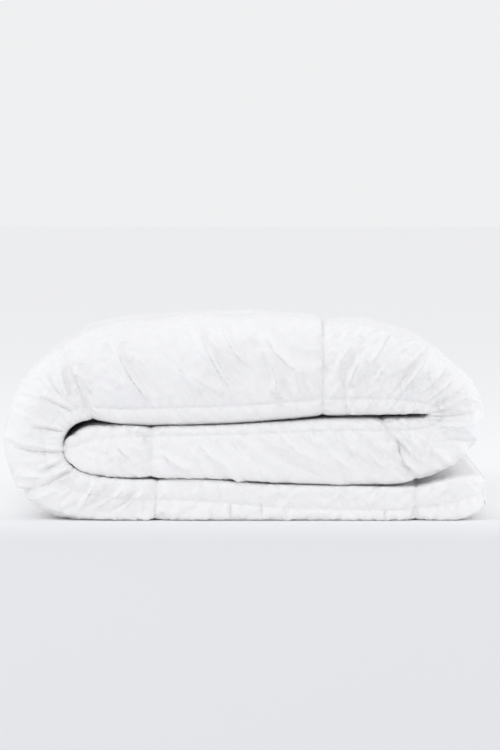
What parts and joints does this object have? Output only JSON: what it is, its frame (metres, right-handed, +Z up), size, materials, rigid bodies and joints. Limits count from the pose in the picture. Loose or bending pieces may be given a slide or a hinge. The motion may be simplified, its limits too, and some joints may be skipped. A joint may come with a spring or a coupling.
{
  "type": "folded duvet",
  "caption": "Thick white baffle-box duvet folded in half and then in three, with gathered cross seams, corded edges and a blank care label.",
  "frame": {"origin": "centre of the bottom face of the folded duvet's box, on the surface it lies on", "axes": "+X to the foot end of the strip, away from the big outer fold; -Y to the half fold, the rounded front; +Z up through the layers"},
  "size_m": [0.652, 0.62, 0.271],
  "materials": {
    "cotton_shell": "fine matt cotton percale, softly crumpled",
    "edge_piping": "bias-cut cotton over cord",
    "baffle_tape": "thin woven tape",
    "thread": "polyester sewing thread",
    "filling": "lofted fibre",
    "label_cloth": "smooth woven label, blank"
  },
  "bodies": {
    "root": {"care_label": "label_cloth", "centre_baffle": "baffle_tape", "cross_baffle_1": "baffle_tape", "cross_baffle_2": "baffle_tape", "cross_baffle_3": "baffle_tape", "cross_baffle_4": "baffle_tape", "cross_baffle_5": "baffle_tape", "cross_baffle_6": "baffle_tape", "cross_seam_thread": "thread", "edge_seam_thread": "thread", "foot_end_piping": "edge_piping", "head_end_piping": "edge_piping", "inner_edge_fill": "filling", "inner_fill_bottom_back": "filling", "inner_fill_bottom_front": "filling", "inner_fill_left_fold_back": "filling", "inner_fill_left_fold_front": "filling", "inner_fill_middle_back": "filling", "inner_fill_middle_front": "filling", "inner_fill_right_fold_back": "filling", "inner_fill_right_fold_front": "filling", "inner_fill_top_back": "filling", "inner_fill_top_front": "filling", "inner_foot_fill": "filling", "inner_head_fill": "filling", "inner_long_baffle_1": "baffle_tape", "inner_long_baffle_2": "baffle_tape", "inner_panel": "cotton_shell", "long_seam_thread": "thread", "lower_edge_piping": "edge_piping", "outer_edge_fill": "filling", "outer_fill_bottom_back": "filling", "outer_fill_bottom_front": "filling", "outer_fill_left_fold_back": "filling", "outer_fill_left_fold_front": "filling", "outer_fill_middle_back": "filling", "outer_fill_middle_front": "filling", "outer_fill_right_fold_back": "filling", "outer_fill_right_fold_front": "filling", "outer_fill_top_back": "filling", "outer_fill_top_front": "filling", "outer_foot_fill": "filling", "outer_head_fill": "filling", "outer_long_baffle_1": "baffle_tape", "outer_long_baffle_2": "baffle_tape", "outer_panel": "cotton_shell", "upper_edge_piping": "edge_piping"}
  },
  "joints": []
}
